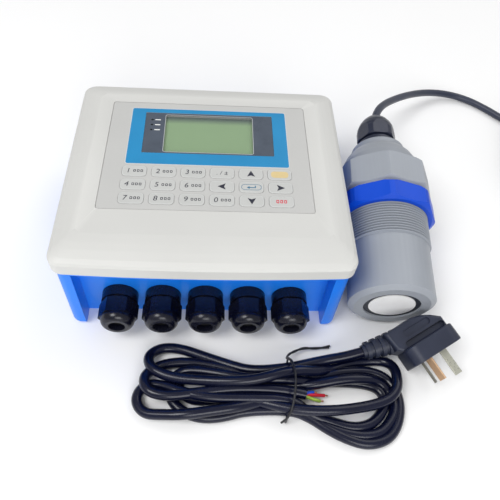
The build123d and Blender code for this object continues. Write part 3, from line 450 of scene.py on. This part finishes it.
def pin_colours(tree):
    """The plug's earth pin is silver and its upper blade gold; its lower blade keeps the darker base colour,
    a painted shade.
    """
    upward = PLUG_PINS.cross(PLUG_LONG)
    return [(beyond(tree, PLUG_CENTRE, upward), linear(208, 172, 138)),
            (beyond(tree, PLUG_CENTRE, PLUG_LONG), linear(196, 196, 182))]


# the base colour is the lower blade's, darkened: painted shade
PIN_PLATE_AND_SHADE = moulded("pin_plating_and_shade", linear(112, 110, 100), 0.34, 900.0, 0.10, 0.06, metal=0.6,
                    tint_by=pin_colours)
BOARD = moulded("board_mask", linear(20, 80, 45), 0.35, 900.0, 0.12, 0.20, 150.0)
TERMINAL = moulded("terminal_green", linear(40, 130, 70), 0.40, 2000.0, 0.08, 0.06)
POTTED = moulded("potted_black", linear(22, 22, 26), 0.50, 1400.0, 0.20, 0.15)
CERAMIC = moulded("fired_ceramic", linear(210, 205, 185), 0.60, 2500.0, 0.10, 0.05)
LAMP = moulded("lamp_lens", linear(35, 30, 30), 0.15, 2500.0, 0.02, 0.10)

KEY_NODES = [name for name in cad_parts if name.startswith("key_")]
GLAND_NUTS = [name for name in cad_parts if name.startswith("gland_nut_")]
FINISHES = [
    (BLUE_SHELL, ["rear_housing"]), (GREY_SHELL, ["front_cover"]), (PANEL_FILM, ["keypad_overlay"]),
    (KEY_FILM, KEY_NODES), (GLAND_NYLON, ["gland_bodies", "gland_locknuts"] + GLAND_NUTS),
    (SEAL_RUBBER, ["gland_washers", "gland_seals", "cover_gasket", "probe_gland_seal"]),
    (PROBE_GREY, ["probe_body", "probe_cap"]), (NUT_BLUE, ["probe_locknut"]),
    (WHITE_FACE, ["probe_diaphragm"]), (DARK_RING, ["isolation_ring"]),
    (SLATE, ["probe_gland_body", "probe_gland_nut"]), (PLUG_PVC, ["plug_body"]),
    (STEEL, ["hinge_pins", "cover_lock", "board_screws", "display_screws"]), (PIN_PLATE_AND_SHADE, ["plug_pins"]),
    (BOARD, ["display_board", "main_board"]), (TERMINAL, ["terminal_blocks"]),
    (POTTED, ["transformer", "backing_potting"]), (CERAMIC, ["piezo_disc"]), (LAMP, ["status_lamps"]),
    (clear_lens("clear_lens"), ["display_window"]), (display_glass("display_glass"), ["lcd_module"])]


def finish_node(node, material):
    """Gives a CAD node one material."""
    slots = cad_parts[node].material_slots
    for slot in slots:
        slot.material = material
    if not slots:
        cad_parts[node].data.materials.append(material)


for finish, names in FINISHES:
    for name in names:
        finish_node(name, finish)


# ---------------------------------------------------------------- printing on the panel
def rounded(centre_x, centre_y, width, height, corner, steps=5):
    """A rounded rectangle's outline, in metres, counter-clockwise."""
    points = []
    for quarter in range(4):
        across = 1 if quarter in (0, 3) else -1
        along = 1 if quarter in (0, 1) else -1
        middle = (centre_x + across * (width / 2 - corner), centre_y + along * (height / 2 - corner))
        for step in range(steps + 1):
            turn = pi / 2 * (quarter + step / steps)
            points.append((middle[0] + corner * cos(turn), middle[1] + corner * sin(turn)))
    return points


INK = 0.03 * MM                   # the thickness of anything printed


def printed(name, loops, height, material, body):
    """A thin printed shape on a level surface: filled outlines, where an inner one is a hole."""
    data = bpy.data.curves.new(name, "CURVE")
    data.dimensions, data.fill_mode = "2D", "BOTH"
    data.extrude = INK / 2
    for loop in loops:
        spline = data.splines.new("POLY")
        spline.points.add(len(loop) - 1)
        for place, point in zip(spline.points, loop):
            place.co = (point[0], point[1], 0.0, 1.0)
        spline.use_cyclic_u = True
    return as_mesh(name, data, (0, 0, height + INK / 2), material, body)


def as_mesh(name, data, place, material, body):
    """Turns a filled curve or text into a mesh piece."""
    outline = bpy.data.objects.new(name + "_outline", data)
    bpy.context.scene.collection.objects.link(outline)
    bpy.context.view_layer.update()
    mesh = bpy.data.meshes.new_from_object(outline.evaluated_get(bpy.context.evaluated_depsgraph_get()))
    bpy.data.objects.remove(outline)
    piece = bpy.data.objects.new(name, mesh)
    piece.location = place
    mesh.materials.clear()
    mesh.materials.append(material)
    bpy.context.scene.collection.objects.link(piece)
    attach(piece, body)
    return piece


def lettering(name, words, place, size, material, body):
    """Printed text, centred at a place."""
    data = bpy.data.curves.new(name, "FONT")
    data.body, data.size, data.shear = words, size, 0.12
    data.align_x, data.align_y = "CENTER", "CENTER"
    data.extrude = INK / 2
    return as_mesh(name, data, (place[0], place[1], place[2] + INK / 2), material, body)


PRINT_BLUE = moulded("print_blue", linear(38, 134, 186), 0.38, 2800.0, 0.05, 0.05, 20.0, gloss=0.3)
PRINT_WHITE = moulded("print_white", linear(228, 230, 228), 0.40, 2800.0, 0.04, 0.02)
PRINT_DARK = moulded("print_dark", linear(34, 36, 52), 0.45, 2800.0, 0.04, 0.08)
PRINT_LINE = moulded("print_line", linear(176, 180, 182), 0.45, 2800.0, 0.04, 0.03)
PRINT_EDGE = moulded("print_edge", linear(203, 205, 204), 0.45, 2800.0, 0.04, 0.03)
PRINT_WINDOW = moulded("print_window", linear(78, 86, 98), 0.30, 2200.0, 0.03, 0.06, 60.0, gloss=0.25)
PRINT_YELLOW = moulded("print_yellow", linear(214, 192, 140), 0.42, 2800.0, 0.05, 0.05)
PRINT_RED = moulded("print_red", linear(205, 40, 66), 0.42, 2800.0, 0.04, 0.05)
PRINT_TEAL = moulded("print_teal", linear(60, 110, 140), 0.42, 2800.0, 0.04, 0.05)

panel_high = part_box("keypad_overlay")[1]
window_low, window_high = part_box("display_window")
WINDOW_MIDDLE = ((window_low.x + window_high.x) / 2, (window_low.y + window_high.y) / 2)
WINDOW_SIZE = (window_high.x - window_low.x, window_high.y - window_low.y)
VIEW_SIZE = (71.4 * MM, 43.2 * MM)
VIEW_MIDDLE = (0.0, window_low.y + 1.7 * MM + VIEW_SIZE[1] / 2)
BAND_SIZE = (126.8 * MM, 64.1 * MM)
BAND_MIDDLE = (0.0, window_low.y - 12.1 * MM + BAND_SIZE[1] / 2)
window_hole = rounded(*WINDOW_MIDDLE, WINDOW_SIZE[0] + 0.1 * MM, WINDOW_SIZE[1] + 0.1 * MM, 0.4 * MM)
printed("blue_band", [rounded(*BAND_MIDDLE, *BAND_SIZE, 1.6 * MM), window_hole], panel_high.z, PRINT_BLUE,
        "cover")
printed("band_border", [rounded(*BAND_MIDDLE, BAND_SIZE[0] + 1.2 * MM, BAND_SIZE[1] + 1.2 * MM, 2.0 * MM),
                        rounded(*BAND_MIDDLE, BAND_SIZE[0] + 0.2 * MM, BAND_SIZE[1] + 0.2 * MM, 1.7 * MM)],
        panel_high.z, PRINT_EDGE, "cover")
view_hole = rounded(*VIEW_MIDDLE, *VIEW_SIZE, 1.6 * MM)
lamp_low, lamp_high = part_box("status_lamps")
LAMP_RADIUS = 1.5 * MM
lamp_x = (lamp_low.x + lamp_high.x) / 2
first_lamp, last_lamp = lamp_high.y - LAMP_RADIUS, lamp_low.y + LAMP_RADIUS
lamp_rows = [first_lamp + (last_lamp - first_lamp) * n / 2 for n in range(3)]
lamp_holes = [rounded(lamp_x, y, 2.0 * MM, 2.0 * MM, 1.0 * MM) for y in lamp_rows]
printed("window_print", [rounded(*WINDOW_MIDDLE, WINDOW_SIZE[0] - 0.3 * MM, WINDOW_SIZE[1] - 0.3 * MM,
                                 0.5 * MM), view_hole] + lamp_holes, window_high.z, PRINT_WINDOW, "cover")
printed("view_frame", [rounded(*VIEW_MIDDLE, VIEW_SIZE[0] + 0.9 * MM, VIEW_SIZE[1] + 0.9 * MM, 2.0 * MM),
                       view_hole], window_high.z + INK, PRINT_LINE, "cover")
for n, y in enumerate(lamp_rows):
    printed(f"lamp_mark_{n + 1}", [rounded(lamp_x + 4.6 * MM, y, 4.4 * MM, 1.1 * MM, 0.3 * MM)],
            window_high.z + INK, PRINT_WHITE, "cover")


def triangle(x, y, size, heading):
    """A solid arrow head with a notched back."""
    shape = [(0.55, 0.0), (-0.45, 0.5), (-0.25, 0.0), (-0.45, -0.5)]
    return [(x + size * (px * cos(heading) - py * sin(heading)),
             y + size * (px * sin(heading) + py * cos(heading))) for px, py in shape]


def key_legend(node):
    """The outline and the symbol printed on one key."""
    word = node[len("key_"):]
    low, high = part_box(node)
    body = f"key_{word}_body"
    x, y, z = (low.x + high.x) / 2, (low.y + high.y) / 2, high.z
    width, height = high.x - low.x, high.y - low.y
    printed(f"outline_{word}", [rounded(x, y, width - 0.9 * MM, height - 0.9 * MM, 2.7 * MM),
                                rounded(x, y, width - 1.5 * MM, height - 1.5 * MM, 2.4 * MM)],
            z, PRINT_EDGE, body)
    headings = {"up": pi / 2, "down": -pi / 2, "left": pi, "right": 0.0}
    if word.isdigit():
        lettering(f"digit_{word}", word, (x - 4.6 * MM, y, z), 6.6 * MM, PRINT_DARK, body)
        bars = [[rounded(x + (0.2 + 2.7 * n) * MM, y + 0.1 * MM, 1.9 * MM, 2.5 * MM, 0.5 * MM),
                 rounded(x + (0.2 + 2.7 * n) * MM, y + 0.1 * MM, 0.9 * MM, 1.5 * MM, 0.3 * MM)]
                for n in range(3)]
        printed(f"marks_{word}", [loop for bar in bars for loop in bar], z, PRINT_DARK, body)
    elif word in headings:
        printed(f"arrow_{word}", [triangle(x, y, 6.2 * MM, headings[word])], z, PRINT_DARK, body)
    elif word == "point":
        lettering("sign_point", ". / ±", (x, y, z), 5.6 * MM, PRINT_DARK, body)
    elif word == "menu":
        printed("patch_menu", [rounded(x, y, 13.5 * MM, 6.6 * MM, 2.6 * MM)], z, PRINT_YELLOW, body)
    elif word == "enter":
        printed("oval_enter", [rounded(x, y, 15.4 * MM, 5.8 * MM, 2.8 * MM),
                               rounded(x, y, 14.6 * MM, 5.0 * MM, 2.4 * MM)], z, PRINT_TEAL, body)
        printed("arrow_enter", [[(x - 3.6 * MM, y - 0.4 * MM), (x - 1.4 * MM, y - 1.8 * MM),
                                 (x - 1.4 * MM, y - 0.8 * MM), (x + 3.4 * MM, y - 0.8 * MM),
                                 (x + 3.4 * MM, y + 1.6 * MM), (x + 2.6 * MM, y + 1.6 * MM),
                                 (x + 2.6 * MM, y), (x - 1.4 * MM, y), (x - 1.4 * MM, y + 1.0 * MM)]],
                z, PRINT_TEAL, body)
    elif word == "escape":
        bars = [rounded(x + 2.9 * MM * k, y, 2.1 * MM, 3.2 * MM, 0.6 * MM) for k in (-1, 0, 1)]
        holes = [rounded(x + 2.9 * MM * k, y, 0.9 * MM, 1.8 * MM, 0.3 * MM) for k in (-1, 0, 1)]
        printed("marks_escape", bars + holes, z, PRINT_RED, body)


for key_node in KEY_NODES:
    key_legend(key_node)

# ---------------------------------------------------------------- floor and light
floor_material = moulded("studio_floor", linear(250, 250, 250), 0.9, 60.0, 0.0, 0.004, 2.0)
bpy.ops.mesh.primitive_plane_add(size=12.0)
floor = bpy.context.object
floor.name = "floor"
floor.data.materials.append(floor_material)

world = bpy.data.worlds.new("studio")
world.use_nodes = True
world.node_tree.nodes["Background"].inputs["Color"].default_value = (1.0, 1.0, 1.0, 1.0)
world.node_tree.nodes["Background"].inputs["Strength"].default_value = 0.48
bpy.context.scene.world = world
subject = (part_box("front_cover")[0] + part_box("probe_body")[1]) / 2
area_light("key", (-0.7, -0.5, 1.4), subject, 0.7, 12.0)
area_light("fill", (0.9, 0.8, 1.4), subject, 1.2, 7.0)
area_light("front", (0.3, -2.0, 1.2), subject, 1.2, 20.0)
bpy.context.scene.view_settings.view_transform = "Standard"
